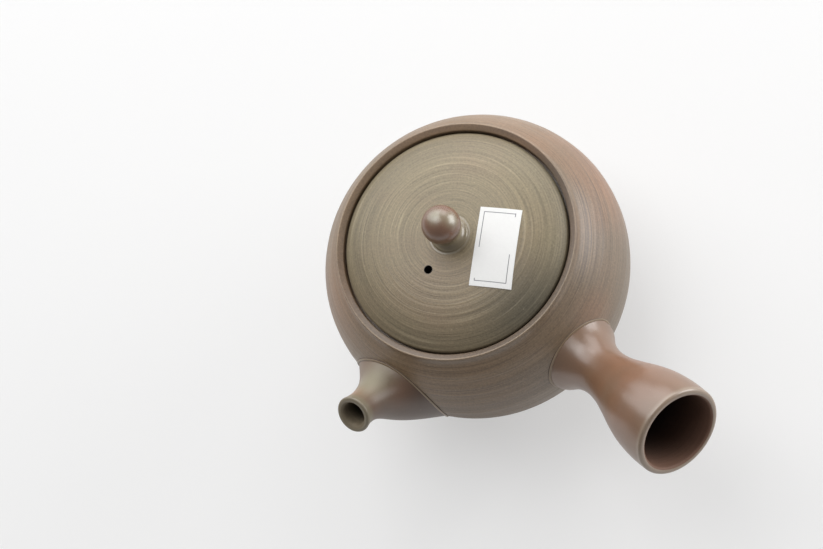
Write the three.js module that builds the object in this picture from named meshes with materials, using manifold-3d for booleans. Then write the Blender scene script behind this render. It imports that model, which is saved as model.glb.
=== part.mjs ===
// Side-handled kyusu teapot, thrown in unglazed stoneware, standing upright on its flat foot.
//
// Millimetres, +Z up. The origin is the centre of the foot, the pot's axis is Z,
// and the handle runs out along +X. Seen from above, the spout lies clockwise of the handle.

import * as THREE from 'three';
import { mergeVertices } from 'three/addons/utils/BufferGeometryUtils.js';
import Module from 'manifold-3d';

const wasm = await Module();
wasm.setup();

// Pot body
const BODY_RADIUS = 53;
const WAIST_HEIGHT = 39;
const WALL = 3;
const FLOOR = 4.2;
const FLOOR_CORNER = 4;
const FOOT_RADIUS = 31;
const HEEL_WIDTH = 2;
const HEEL_HEIGHT = 2.2;

// Mouth, with the sunk ledge that the lid rests on
const RIM_HEIGHT = 67.3;
const RIM_WIDTH = 2.4;
const RIM_COLLAR = 2.4;
const RIM_ROUND_SHARE = 0.46;
const LEDGE_WIDTH = 5;
const LEDGE_THICKNESS = 2.8;
const LEDGE_UNDERCUT = 4;

// Lid
const LID_RADIUS = 38.3;
const LID_SINK = 1.6;
const LID_EDGE_THICKNESS = 3;
const LID_EDGE_ROUND = 0.7;
const LID_RISE = 7.1;
const LID_CURVE_POWER = 4;
const LID_THICKNESS = 3.2;
const LID_PLAY = 0.7;
const VENT_DIAMETER = 2.8;
const VENT_OFFSET = 13.6;
const VENT_ANGLE = -78.4;

// Ring under the lid that centres it in the mouth
const RING_DEPTH = 9;
const RING_THICKNESS = 2.6;
const RING_PLAY = 0.6;
const RING_ROUND = 0.8;

// Knob
const KNOB_BALL_RADIUS = 6.5;
const KNOB_BALL_HEIGHT = 9.9;
const KNOB_NECK_RADIUS = 3.9;
const KNOB_BASE_RADIUS = 6.1;
const KNOB_BASE_EDGE = 0.6;

// Paper label on the lid
const LABEL_LENGTH = 26.9;
const LABEL_WIDTH = 13.9;
const LABEL_THICKNESS = 0.3;
const LABEL_DISTANCE = 16.5;
const LABEL_ANGLE = 23.3;
const LABEL_TURN = -55.2;

// Spout
const SPOUT_ANGLE = -77.9;
const SPOUT_TIP_REACH = 67;
const SPOUT_TIP_HEIGHT = 64.9;
const SPOUT_TIP_SLOPE = 36.8;
const SPOUT_TIP_CUT_SLOPE = 46;
const SPOUT_ROOT_DEPTH = 11;
const SPOUT_ROOT_HEIGHT = 43.9;
const SPOUT_ROOT_SLOPE = 15.5;
const SPOUT_ROOT_RADIUS = 25.2;
const SPOUT_NECK_RADIUS = 5.25;
const SPOUT_TIP_RADIUS = 6.2;
const SPOUT_FLARE_POWER = 2.33;
const SPOUT_BORE_RADIUS = 4.15;
const SPOUT_WALL = 2.1;
const SPOUT_BEND_SHARE = 0.417;
const SPOUT_LIP_SHARE = 0.8;
const SPOUT_BLANK_SHARE = 1.15;
const BORE_START_SHARE = 0.05;

// Handle
const HANDLE_ROOT_HEIGHT = 43.5;
const HANDLE_SLOPE = 23;
const HANDLE_LENGTH = 51.6;
const HANDLE_ROOT_RADIUS = 13.4;
const HANDLE_WAIST_RADIUS = 8.6;
const HANDLE_END_RADIUS = 15.4;
const HANDLE_WALL = 2.4;
const HANDLE_ROOT_SINK = 1;
const HANDLE_TENON = 9;
const HANDLE_LIP_ROUND_SHARE = 0.46;

// Strainer dome over the hole that leads to the spout
const STRAINER_RADIUS = 14.5;
const STRAINER_BULGE = 8;
const STRAINER_THICKNESS = 2;
const STRAINER_HOLE_DIAMETER = 1.8;
const STRAINER_RINGS = 3;
const HOLES_PER_RING = 6;
const STRAINER_RING_PITCH = 3.4;
const STRAINER_SKIRT_ANGLE = 80;
const POUR_HOLE_RADIUS = 10;

// Joins and fineness
const SEAM_GAP = 0.3;
const CUT_OVERRUN = 2;
const ROUND_STEPS = 60;
const TUBE_STEPS = 30;
const HOLE_STEPS = 6;
const VENT_STEPS = 14;
const SPOUT_ROWS = 14;
const HANDLE_ROWS = 12;
const CURVE_ROWS = 6;
const LID_ROWS = 8;
const CORNER_ROWS = 3;
const WELD = 1e-4;

const DEGREE = Math.PI / 180;
const lidEdgeTop = RIM_HEIGHT - LID_SINK;
const lidEdgeBottom = lidEdgeTop - LID_EDGE_THICKNESS;
const lidSummit = lidEdgeTop + LID_RISE;
const ledgeHeight = lidEdgeBottom - SEAM_GAP;
const mouthRadius = LID_RADIUS + LID_PLAY;
const throatRadius = mouthRadius - LEDGE_WIDTH;
const ringOuter = throatRadius - RING_PLAY;
const ringInner = ringOuter - RING_THICKNESS;
const rimOuter = mouthRadius + RIM_WIDTH;

// The belly and the shoulder are quarter ellipses that meet at the waist: the belly runs
// down to the heel of the foot, and the shoulder runs up to the foot of the rim's collar
const bellyDrop = WAIST_HEIGHT / Math.sqrt(1 - ((FOOT_RADIUS + HEEL_WIDTH) / BODY_RADIUS) ** 2);
const collarHeight = RIM_HEIGHT - RIM_COLLAR - WAIST_HEIGHT;
const shoulderRise = collarHeight / Math.sqrt(1 - (rimOuter / BODY_RADIUS) ** 2);

// Materials
const clay = new THREE.MeshStandardMaterial({ color: 0x8f7362, roughness: 0.62, metalness: 0 });
const smoothClay = new THREE.MeshStandardMaterial({ color: 0x95705a, roughness: 0.5, metalness: 0 });
const lidClay = new THREE.MeshStandardMaterial({ color: 0x867b68, roughness: 0.68, metalness: 0 });
const innerClay = new THREE.MeshStandardMaterial({ color: 0x7a5f4e, roughness: 0.75, metalness: 0 });
const paper = new THREE.MeshStandardMaterial({ color: 0xf4f3ef, roughness: 0.8, metalness: 0 });

// A closed three.js geometry as a solid that can be cut and joined
function toSolid(geometry) {
  const bare = geometry.clone();
  bare.deleteAttribute('normal');
  bare.deleteAttribute('uv');
  const welded = mergeVertices(bare, WELD);
  const corners = welded.index.array;
  const triVerts = [];
  for (let i = 0; i < corners.length; i += 3) {
    const [a, b, c] = [corners[i], corners[i + 1], corners[i + 2]];
    if (a !== b && b !== c && c !== a) triVerts.push(a, b, c);
  }
  return new wasm.Manifold(new wasm.Mesh({
    numProp: 3,
    vertProperties: Float32Array.from(welded.attributes.position.array),
    triVerts: Uint32Array.from(triVerts),
  }));
}

function toMesh(name, solid, material) {
  const { vertProperties, triVerts } = solid.getMesh();
  const geometry = new THREE.BufferGeometry();
  geometry.setAttribute('position', new THREE.BufferAttribute(vertProperties, 3));
  geometry.setIndex(new THREE.BufferAttribute(triVerts, 1));
  geometry.computeVertexNormals();
  const mesh = new THREE.Mesh(geometry, material);
  mesh.name = name;
  return mesh;
}

// Outlines are lists of [radius, height], turned about Z
function lathe(outline, steps) {
  const points = outline.map(([r, z]) => new THREE.Vector2(r, z));
  return new THREE.LatheGeometry(points, steps).rotateX(Math.PI / 2);
}

function turned(outline, steps) {
  return toSolid(lathe(outline, steps));
}

// Points of an ellipse from one angle to another, in degrees from the outline's radius axis
function arc(centreR, centreZ, radiusR, radiusZ, from, to, steps) {
  const points = [];
  for (let i = 0; i <= steps; i += 1) {
    const angle = (from + (to - from) * i / steps) * DEGREE;
    points.push([centreR + radiusR * Math.cos(angle), centreZ + radiusZ * Math.sin(angle)]);
  }
  return points;
}

// Rounds the corner between two points of an outline, leaving out the first of them
function rounded(from, corner, to) {
  const [start, middle, end] = [from, corner, to].map(([r, z]) => new THREE.Vector2(r, z));
  const curve = new THREE.QuadraticBezierCurve(start, middle, end);
  return curve.getPoints(CORNER_ROWS).slice(1).map((point) => [point.x, point.y]);
}

// Angle below the waist, in degrees, at which an ellipse has a height
function angleBelow(height, drop) {
  return Math.asin((WAIST_HEIGHT - height) / drop) / DEGREE;
}

// Outline of the pot's outside from the foot to the collar, moved outward by a distance
function bodyOutside(outward) {
  const radius = BODY_RADIUS + outward;
  const drop = bellyDrop + outward;
  const collarAngle = Math.acos((rimOuter + outward) / radius) / DEGREE;
  const belly = arc(0, WAIST_HEIGHT, radius, drop, -angleBelow(HEEL_HEIGHT, drop), 0, CURVE_ROWS);
  const shoulder = arc(0, WAIST_HEIGHT, radius, shoulderRise + outward, 0, collarAngle, CURVE_ROWS);
  const foot = [FOOT_RADIUS, -outward];
  const heel = rounded(foot, [FOOT_RADIUS + HEEL_WIDTH, -outward], belly[0]);
  return [[0, -outward], foot, ...heel, ...belly.slice(1), ...shoulder.slice(1)];
}

// Outline of the hollow, from under the ledge down to the middle of the floor, moved inward
function bodyInside(inward) {
  const radius = BODY_RADIUS - WALL - inward;
  const drop = bellyDrop - WALL - inward;
  const rise = shoulderRise - WALL - inward;
  const floor = FLOOR + inward;
  const underLedge = ledgeHeight - LEDGE_THICKNESS - LEDGE_UNDERCUT;
  const topAngle = Math.asin((underLedge - WAIST_HEIGHT) / rise) / DEGREE;
  const floorAngle = angleBelow(floor, drop);
  const cornerAngle = angleBelow(floor + FLOOR_CORNER / 2, drop);
  const upper = arc(0, WAIST_HEIGHT, radius, rise, topAngle, 0, CURVE_ROWS);
  const lower = arc(0, WAIST_HEIGHT, radius, drop, 0, -cornerAngle, CURVE_ROWS);
  const cornerRadius = radius * Math.cos(floorAngle * DEGREE);
  const bottom = rounded(lower[CURVE_ROWS], [cornerRadius, floor], [cornerRadius - FLOOR_CORNER, floor]);
  return [...upper, ...lower.slice(1), ...bottom, [0, floor]];
}

function rimOutline() {
  const round = RIM_WIDTH * RIM_ROUND_SHARE;
  const centre = RIM_HEIGHT - round;
  return [
    ...arc(rimOuter - round, centre, round, round, 0, 90, CORNER_ROWS),
    ...arc(mouthRadius + round, centre, round, round, 90, 180, CORNER_ROWS),
    [mouthRadius, ledgeHeight],
    [throatRadius, ledgeHeight],
    [throatRadius, ledgeHeight - LEDGE_THICKNESS],
  ];
}

// Places a solid made about Z, with its foot at the origin, on a line that slopes up and outward
function placeOut(geometry, angle, slope, reach, height) {
  return geometry
    .rotateY((90 - slope) * DEGREE)
    .translate(reach, 0, height)
    .rotateZ(angle * DEGREE);
}

function pourHole() {
  const depth = 2 * (WALL + CUT_OVERRUN);
  const drill = new THREE.CylinderGeometry(POUR_HOLE_RADIUS, POUR_HOLE_RADIUS, depth, TUBE_STEPS)
    .rotateX(Math.PI / 2);
  return toSolid(placeOut(drill, SPOUT_ANGLE, 0, BODY_RADIUS - WALL / 2, WAIST_HEIGHT));
}

function makeBody() {
  const shell = turned([...bodyOutside(0), ...rimOutline(), ...bodyInside(0)], ROUND_STEPS);
  return toMesh('body', shell.subtract(pourHole()), clay);
}

// What the pot takes up, and the way that its lid and knob lift, which spout and handle stay clear of
const knobSummit = lidSummit + KNOB_BALL_HEIGHT + KNOB_BALL_RADIUS;
const keepOutTop = [[rimOuter + SEAM_GAP, knobSummit], [0, knobSummit]];
const bodyKeepOut = turned([...bodyOutside(SEAM_GAP), ...keepOutTop], ROUND_STEPS);

// Centre line of the spout, in the upright plane through the pot's axis
function spoutLine() {
  const tip = new THREE.Vector3(SPOUT_TIP_REACH, 0, SPOUT_TIP_HEIGHT);
  const root = new THREE.Vector3(BODY_RADIUS - SPOUT_ROOT_DEPTH, 0, SPOUT_ROOT_HEIGHT);
  const tipSlope = SPOUT_TIP_SLOPE * DEGREE;
  const rootSlope = SPOUT_ROOT_SLOPE * DEGREE;
  const reach = tip.distanceTo(root) * SPOUT_BEND_SHARE;
  const fromRoot = new THREE.Vector3(Math.cos(rootSlope), 0, Math.sin(rootSlope)).multiplyScalar(reach);
  const fromTip = new THREE.Vector3(-Math.cos(tipSlope), 0, -Math.sin(tipSlope)).multiplyScalar(reach);
  return new THREE.CubicBezierCurve3(root, fromRoot.add(root), fromTip.add(tip), tip);
}

// Bends a shape that stands about Z, from height 0 to 1, along a curve in the XZ plane
function bendAlong(geometry, curve) {
  const position = geometry.attributes.position;
  const side = new THREE.Vector3(0, 1, 0);
  const point = new THREE.Vector3();
  const length = curve.getLength();
  for (let i = 0; i < position.count; i += 1) {
    point.fromBufferAttribute(position, i);
    const share = Math.min(Math.max(point.z, 0), 1);
    const tangent = curve.getTangentAt(share);
    const across = new THREE.Vector3().crossVectors(side, tangent);
    const place = curve.getPointAt(share)
      .addScaledVector(across, point.x)
      .addScaledVector(side, point.y)
      .addScaledVector(tangent, (point.z - share) * length);
    position.setXYZ(i, place.x, place.y, place.z);
  }
  return geometry;
}

// Radius of the spout's outside at a share of its length, from a wide root to a slightly swelled lip
function spoutRadius(share) {
  const flare = Math.pow(1 - Math.min(share, 1), SPOUT_FLARE_POWER);
  const lip = Math.max(0, (share - SPOUT_LIP_SHARE) / (1 - SPOUT_LIP_SHARE)) ** 2;
  return SPOUT_NECK_RADIUS + (SPOUT_ROOT_RADIUS - SPOUT_NECK_RADIUS) * flare
    + (SPOUT_TIP_RADIUS - SPOUT_NECK_RADIUS) * Math.min(lip, 1);
}

// Outline of the spout or of its bore, closed on the spout's centre line at both ends
function spoutOutline(radiusAt, endShare) {
  const outline = [[0, 0]];
  for (let i = 0; i <= SPOUT_ROWS; i += 1) {
    const share = endShare * i / SPOUT_ROWS;
    outline.push([radiusAt(share), share]);
  }
  return [...outline, [0, endShare]];
}

function makeSpout() {
  const line = spoutLine();
  const boreRadius = (share) => Math.max(SPOUT_BORE_RADIUS, spoutRadius(share) - SPOUT_WALL);
  const outside = spoutOutline(spoutRadius, SPOUT_BLANK_SHARE);
  const tube = toSolid(bendAlong(lathe(outside, TUBE_STEPS), line));
  const trimSize = 4 * SPOUT_TIP_RADIUS;
  const trim = new THREE.BoxGeometry(trimSize, trimSize, trimSize).translate(0, 0, trimSize / 2);
  const cutter = toSolid(placeOut(trim, 0, SPOUT_TIP_CUT_SLOPE, SPOUT_TIP_REACH, SPOUT_TIP_HEIGHT));
  const inside = spoutOutline(boreRadius, SPOUT_BLANK_SHARE * SPOUT_BLANK_SHARE);
  const bore = toSolid(bendAlong(lathe(inside, TUBE_STEPS).translate(0, 0, -BORE_START_SHARE), line));
  const turn = (solid) => solid.rotate([0, 0, SPOUT_ANGLE]);
  return toMesh('spout', turn(tube.subtract(bore).subtract(cutter)).subtract(bodyKeepOut), smoothClay);
}

const HANDLE_STATION_SHARES = [0, 0.08, 0.16, 0.25, 0.36, 0.48, 0.6, 0.72, 0.86, 1];
const HANDLE_SWELL_SHARES = [1, 0.46, 0.13, 0, 0.09, 0.35, 0.65, 0.88, 1, 0.99];

// Outline of the handle's outside, drawn in at the waist and swelling to both ends
function handleOutline() {
  const waist = HANDLE_SWELL_SHARES.indexOf(0);
  const points = HANDLE_STATION_SHARES.map((station, i) => {
    const full = i < waist ? HANDLE_ROOT_RADIUS : HANDLE_END_RADIUS;
    const radius = HANDLE_WAIST_RADIUS + (full - HANDLE_WAIST_RADIUS) * HANDLE_SWELL_SHARES[i];
    return new THREE.Vector2(radius, station * HANDLE_LENGTH);
  });
  return new THREE.SplineCurve(points).getPoints(HANDLE_ROWS).map((point) => [point.x, point.y]);
}

function makeHandle() {
  const round = HANDLE_WALL * HANDLE_LIP_ROUND_SHARE;
  const lipHeight = HANDLE_LENGTH - round;
  const outline = handleOutline().filter(([, z]) => z < lipHeight);
  const lip = [
    ...arc(HANDLE_END_RADIUS - round, lipHeight, round, round, 0, 90, CORNER_ROWS),
    ...arc(HANDLE_END_RADIUS - HANDLE_WALL + round, lipHeight, round, round, 90, 180, CORNER_ROWS),
  ];
  const root = [HANDLE_ROOT_RADIUS, -HANDLE_TENON];
  const outer = [root, ...outline];
  const inner = outer.map(([r, z]) => [r - HANDLE_WALL, z]).reverse();
  const tube = lathe([...outer, ...lip, ...inner, root], TUBE_STEPS);
  const reach = BODY_RADIUS - HANDLE_ROOT_SINK;
  const placed = toSolid(placeOut(tube, 0, HANDLE_SLOPE, reach, HANDLE_ROOT_HEIGHT));
  return toMesh('handle', placed.subtract(bodyKeepOut), smoothClay);
}

// Height of the lid's top at a distance from the axis
function lidTop(radius) {
  return lidEdgeTop + LID_RISE * (1 - Math.pow(radius / LID_RADIUS, LID_CURVE_POWER));
}

// Outline of the lid's top from a radius in to the axis, lifted by a distance
function lidTopOutline(outerRadius, lift, rows) {
  const points = [];
  for (let i = rows; i >= 0; i -= 1) {
    const radius = outerRadius * Math.sqrt(i / rows);
    points.push([radius, lidTop(radius) + lift]);
  }
  return points;
}

function makeLid() {
  const round = LID_EDGE_ROUND;
  const under = lidTopOutline(ringInner, -LID_THICKNESS, CURVE_ROWS).reverse();
  const edge = [
    [ringInner, lidEdgeBottom],
    [LID_RADIUS - round, lidEdgeBottom],
    [LID_RADIUS, lidEdgeBottom + round],
    [LID_RADIUS, lidEdgeTop - round / 2],
  ];
  const top = lidTopOutline(LID_RADIUS - round, 0, LID_ROWS);
  const disc = turned([...under, ...edge, ...top], ROUND_STEPS);
  const drill = new THREE.CylinderGeometry(VENT_DIAMETER / 2, VENT_DIAMETER / 2, RIM_HEIGHT, VENT_STEPS)
    .rotateX(Math.PI / 2)
    .translate(VENT_OFFSET, 0, RIM_HEIGHT)
    .rotateZ(VENT_ANGLE * DEGREE);
  return toMesh('lid', disc.subtract(toSolid(drill)), lidClay);
}

function makeLidRing() {
  const bottom = ledgeHeight - RING_DEPTH;
  const round = RING_ROUND;
  const foot = arc(ringOuter - round, bottom + round, round, round, -90, 0, CORNER_ROWS);
  const profile = [[ringInner, ledgeHeight], [ringInner, bottom], ...foot, [ringOuter, ledgeHeight]];
  return toMesh('lid_ring', turned([...profile, profile[0]], ROUND_STEPS), lidClay);
}

function makeKnob() {
  const seat = lidSummit + SEAM_GAP;
  const ballHeight = lidSummit + KNOB_BALL_HEIGHT;
  const neckAngle = Math.acos(KNOB_NECK_RADIUS / KNOB_BALL_RADIUS) / DEGREE;
  const ball = arc(0, ballHeight, KNOB_BALL_RADIUS, KNOB_BALL_RADIUS, -neckAngle, 90, 2 * CURVE_ROWS);
  const neckHeight = ball[0][1];
  const flareWidth = KNOB_BASE_RADIUS - KNOB_NECK_RADIUS;
  const flareHeight = neckHeight - seat - KNOB_BASE_EDGE;
  const flare = arc(KNOB_BASE_RADIUS, neckHeight, flareWidth, flareHeight, 270, 180, CURVE_ROWS);
  const profile = [[0, seat], [KNOB_BASE_RADIUS, seat], ...flare, ...ball.slice(1)];
  return toMesh('knob', turned(profile, TUBE_STEPS), smoothClay);
}

function makeLabel() {
  const angle = LABEL_ANGLE * DEGREE;
  const stamp = new THREE.BoxGeometry(LABEL_LENGTH, LABEL_WIDTH, RIM_HEIGHT)
    .rotateZ(LABEL_TURN * DEGREE)
    .translate(LABEL_DISTANCE * Math.cos(angle), LABEL_DISTANCE * Math.sin(angle), RIM_HEIGHT);
  const upper = lidTopOutline(LID_RADIUS, SEAM_GAP + LABEL_THICKNESS, 2 * LID_ROWS);
  const lower = lidTopOutline(LID_RADIUS, SEAM_GAP, 2 * LID_ROWS).reverse();
  const sheet = turned([...lower, ...upper], ROUND_STEPS);
  return toMesh('label', sheet.intersect(toSolid(stamp)), paper);
}

// One hole of the strainer, on a ring about the dome's top, at a share of a full turn
function strainerHole(domeRadius, ring, turnShare) {
  const radius = STRAINER_HOLE_DIAMETER / 2;
  const depth = 2 * (STRAINER_THICKNESS + CUT_OVERRUN);
  const drill = new THREE.CylinderGeometry(radius, radius, depth, HOLE_STEPS)
    .rotateX(Math.PI / 2)
    .translate(0, 0, domeRadius)
    .rotateY(ring * STRAINER_RING_PITCH / domeRadius)
    .rotateZ(2 * Math.PI * turnShare);
  return toSolid(drill);
}

function makeStrainer() {
  const outer = (STRAINER_RADIUS ** 2 + STRAINER_BULGE ** 2) / (2 * STRAINER_BULGE);
  const inner = outer - STRAINER_THICKNESS;
  const skirt = 90 - STRAINER_SKIRT_ANGLE;
  const outside = arc(0, 0, outer, outer, skirt, 90, CURVE_ROWS);
  const inside = arc(0, 0, inner, inner, 90, skirt, CURVE_ROWS);
  let dome = turned([...inside, ...outside], TUBE_STEPS);
  for (let ring = 0; ring <= STRAINER_RINGS; ring += 1) {
    const count = Math.max(1, ring * HOLES_PER_RING);
    for (let i = 0; i < count; i += 1) {
      dome = dome.subtract(strainerHole(outer, ring, i / count));
    }
  }
  const reach = BODY_RADIUS - WALL - STRAINER_BULGE + outer;
  const placed = dome.rotate([0, -90, 0]).translate([reach, 0, WAIST_HEIGHT]).rotate([0, 0, SPOUT_ANGLE]);
  const wall = bodyInside(SEAM_GAP).reverse();
  const ceiling = wall[wall.length - 1][1];
  const hollow = turned([...wall, [0, ceiling]], ROUND_STEPS);
  return toMesh('strainer', placed.intersect(hollow), innerClay);
}

const teapot = new THREE.Group();
teapot.add(makeBody(), makeSpout(), makeHandle(), makeStrainer());
teapot.add(makeLid(), makeLidRing(), makeKnob(), makeLabel());

export default teapot;
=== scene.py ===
"""A side-handled teapot of unglazed stoneware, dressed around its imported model.

The frame gives the pot's place and overall sizes. Each operator models one piece, or one group
of like pieces, in metres, with the pot upright on its foot, its axis on Z and its handle along +X.
"""

import bisect
import math

import bmesh
import bpy
from bpy.props import FloatProperty, FloatVectorProperty, IntProperty, PointerProperty
from bpy.types import Operator, Panel, PropertyGroup
from mathutils import Matrix, Quaternion, Vector, noise
from mathutils.geometry import interpolate_bezier


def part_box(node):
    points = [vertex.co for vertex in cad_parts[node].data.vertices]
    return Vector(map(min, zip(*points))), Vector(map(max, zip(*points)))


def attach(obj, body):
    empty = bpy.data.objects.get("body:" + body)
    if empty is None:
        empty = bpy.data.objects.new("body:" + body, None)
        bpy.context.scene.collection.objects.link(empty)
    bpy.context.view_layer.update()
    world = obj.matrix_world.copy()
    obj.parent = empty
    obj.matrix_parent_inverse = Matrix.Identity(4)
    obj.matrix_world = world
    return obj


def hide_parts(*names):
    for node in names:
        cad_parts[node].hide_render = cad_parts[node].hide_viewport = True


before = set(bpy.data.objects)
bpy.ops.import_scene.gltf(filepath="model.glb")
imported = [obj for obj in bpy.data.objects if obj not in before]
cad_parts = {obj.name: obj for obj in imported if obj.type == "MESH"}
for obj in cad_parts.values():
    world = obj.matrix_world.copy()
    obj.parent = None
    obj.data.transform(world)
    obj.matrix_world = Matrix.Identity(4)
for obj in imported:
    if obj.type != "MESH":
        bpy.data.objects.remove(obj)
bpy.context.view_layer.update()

bl_info = {
    "name": "Side-handled Teapot",
    "version": (1, 0, 0),
    "blender": (4, 5, 0),
    "location": "3D View > Sidebar > Teapot",
    "description": "Models and finishes an unglazed stoneware teapot with a side handle",
    "category": "Add Mesh",
}

POT_LOW, POT_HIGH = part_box("body")
LID_LOW, LID_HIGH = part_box("lid")
RING_LOW, RING_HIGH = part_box("lid_ring")
KNOB_LOW, KNOB_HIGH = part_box("knob")

UP = Vector((0, 0, 1))
FULL_TURN = 2 * math.pi

# Distances in metres
WELD = 1e-6
AXIS_GUARD = 1e-5
REST_GAP = 0.00005
LEDGE_ROUND = 0.0005
RIM_FILLET = 0.0016
HANDLE_TENON = 0.009
COMB_ROW = 0.00022
KNOB_SINK = 0.0002
LABEL_LIFT = 0.00004
LINE_BLUR = 0.00006
FLOOR_RADIUS = 6
FLOOR_GAP = 0.0001

# Share of a wall that its rounded lip takes up, and share below which a face belongs to the bore
ROUND_SHARE = 0.46
BORE_SHARE = 0.3

# Share of the spout's length where its wall starts to lean into the slanted mouth
SLANT_START = 0.72

# Shares of a bead: how far out its middle lies, how much its size varies, and where painted crease shade
# darkens it
BEAD_OFFSET = 0.25
BEAD_WEAR = 0.3
SLIP_CREASE_SHADE = (0.62, 0.98)

# How quickly rows close up towards a lip
EASE = 1.35

# Worn places of a bead per metre, and the attribute for the place across it
BEAD_WEAR_SCALE = 90
ACROSS = "across"

# Counts of rows and steps
LINE_POINTS = 160
SPAN_POINTS = 12
ROOT_HALVINGS = 26
RIPPLE_FADE_ROWS = 6
COMB_FADE_ROWS = 4
FILLET_ROWS = 4
UNDER_ROWS = 24
CORNER_STEPS = 8
WALL_STEPS = 64
TUBE_SIDES = 128
BEAD_STEPS = 192

# Edges sharper than this are drawn sharp
SHARP_EDGE = math.radians(38)

# Stations of the handle as shares of its length, and how far it swells from its waist there
HANDLE_STATIONS = (0, 0.08, 0.16, 0.25, 0.36, 0.48, 0.6, 0.72, 0.86, 1)
HANDLE_SWELL = (1, 0.46, 0.13, 0, 0.09, 0.35, 0.65, 0.88, 1, 0.99)

# Pitches of the throwing rings and of the lid's combing in metres, with their shares of the depth
RIPPLES = ((0.0071, 0.5), (0.0031, 0.3), (0.0017, 0.2))
COMB_WAVES = ((0.0016, 0.4), (0.0008, 0.6))

# Printed frame of the label in metres: from and to along its length, from and to across its width
LABEL_LINES = (
    (0.0015, 0.0017, 0.00155, 0.0120),
    (0.0250, 0.0252, 0.00155, 0.0120),
    (0.0016, 0.0138, 0.00145, 0.00165),
    (0.0243, 0.0251, 0.00145, 0.00165),
    (0.0014, 0.0026, 0.0119, 0.0121),
    (0.0155, 0.0251, 0.0119, 0.0121),
)

# Noise of each finish: features per metre, detail and roughness. Patches also have the values
# where they start and where they are full. Turning is scaled where it is used
TEXTURES = {
    "grain": (2600, 3, 0.6),
    "sand": (1500, 1, 0.4, 0.74, 0.79),
    "turning": (1, 2, 0.6),
    "belly clouds": (16, 3, 0.55, 0.36, 0.66),
    "belly flush": (22, 2, 0.5, 0.30, 0.62),
    "belly streaks": (14, 2, 0.5, 0.38, 0.58),
    "belly speckle": (1300, 2, 0.6),
    "smooth clouds": (30, 3, 0.55, 0.38, 0.68),
    "smooth mottle": (140, 3, 0.6),
    "smooth lines": (420, 2, 0.5),
    "knob rings": (2600, 1, 0.5, 0.46, 0.60),
    "lid clouds": (34, 3, 0.55, 0.40, 0.68),
    "lid patches": (40, 2, 0.5, 0.36, 0.62),
    "lid speckle": (1500, 2, 0.6),
    "inner clouds": (25, 3, 0.5),
    "slip wear": (180, 3, 0.6),
    "slip lines": (700, 2, 0.5),
    "paper fibres": (900, 3, 0.6),
    "floor drift": (3, 2, 0.5),
}

# Turning marks: lines per metre, and how often they break on the way round
TURNING = {
    "belly, broad": (260, 0.9),
    "belly, medium": (800, 0.8),
    "belly, fine": (1700, 1.0),
    "lid, broad": (420, 0.5),
    "lid, medium": (1000, 0.7),
    "lid, fine": (2000, 0.8),
    "inside": (350, 1.4),
}

# Values of the turning marks where pale bands and dark streaks start and where they are full
PALE_BANDS = (0.50, 0.72)
DARK_STREAKS = (0.55, 0.70)
LID_LINES = (0.56, 0.70)

# Rings per metre along the bores of spout and handle
BORE_RINGS = 900

# Soft spots: flushes and warm clouds left by the kiln, an olive crown that also carries a painted highlight,
# painted highlights on the knob, and painted shade on the belly, spout and lid; the middle of each one, and
# how far it reaches
SPOTS = {
    "belly flushes": (((-0.024, -0.042, 0.058), 0.024), ((0.050, 0.012, 0.052), 0.014)),
    "painted_low_shade": (((0.034, -0.044, 0.022), 0.044),),
    "spout crown and highlight": (((0.0080, -0.0520, 0.0630), 0.013),),
    "spout flashes": (((0.0065, -0.0605, 0.0650), 0.0065), ((0.0195, -0.0500, 0.0560), 0.0080)),
    "lid, warm": (((0.006, -0.022, 0.072), 0.026),),
    "lid, painted shade": (((0.036, 0.000, 0.067), 0.026),),
    "knob highlights": (((-0.0008, 0.0004, 0.0891), 0.0046), ((0.0035, 0.0034, 0.0870), 0.0046)),
}

# Finish of each material: roughness, depth of its relief in metres, specular level, and index of
# refraction
FINISHES = {
    "turned_clay": (0.38, 0.00010, 0.75, 1.5),
    "handle_clay": (0.30, 0.00003, 1, 1.55),
    "spout_clay": (0.42, 0.00003, 0.8, 1.55),
    "knob_clay": (0.28, 0.00003, 1, 1.55),
    "lid_clay": (0.46, 0.00009, 0.65, 1.5),
    "spout_bore": (0.62, 0.00010, 0.4, 1.5),
    "handle_bore": (0.62, 0.00010, 0.4, 1.5),
    "inner_clay": (0.72, 0.00012, 0.5, 1.5),
    "spout_slip": (0.42, 0.00006, 0.7, 1.5),
    "handle_slip": (0.42, 0.00006, 0.7, 1.5),
    "label_paper": (0.5, 0.00002, 0.5, 1.5),
    "pale_floor": (0.7, 0.0005, 0.1, 1.5),
}

# Pale grains of sand in the clay, and how strongly they show
SAND_COLOUR = (0.42, 0.36, 0.26)
SAND_SHARE = 0.25

# Where a finish, or a painted sheen, highlight or shade, starts and where it is full, in metres along a
# direction or behind an open end
SHEEN_SIDE = (0.000, 0.040)
FLUSH_SIDE = (0.035, 0.078)
HIGHLIGHT_SIDE = (0.010, -0.030)
RIM_SHADE = (-0.015, 0.015)
SPOUT_SHADE = (0.009, 0.022)
SPOUT_LIP = (-0.0052, -0.0022)
HANDLE_LIP = (-0.0024, -0.0008)
KNOB_SLIP_END = (0.0774, 0.0788)

# Middle and reach of the handle's orange waist, and reach of the painted highlight on the rim's crest
HANDLE_WARM = (0.073, 0.030)
CREST_HIGHLIGHT = 0.00035

# How far light reaches into the two bores
SPOUT_LIT = 0.014
HANDLE_LIT = 0.026

# Where the lid darkens towards its edge, where painted shade fills its vent hole, and where painted shade
# darkens the ball towards its neck, as shares of their radii
LID_EDGE = 0.60
VENT_SHADE = (1.12, 1.02)
KNOB_SHADE = (0.30, -0.45)

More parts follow.
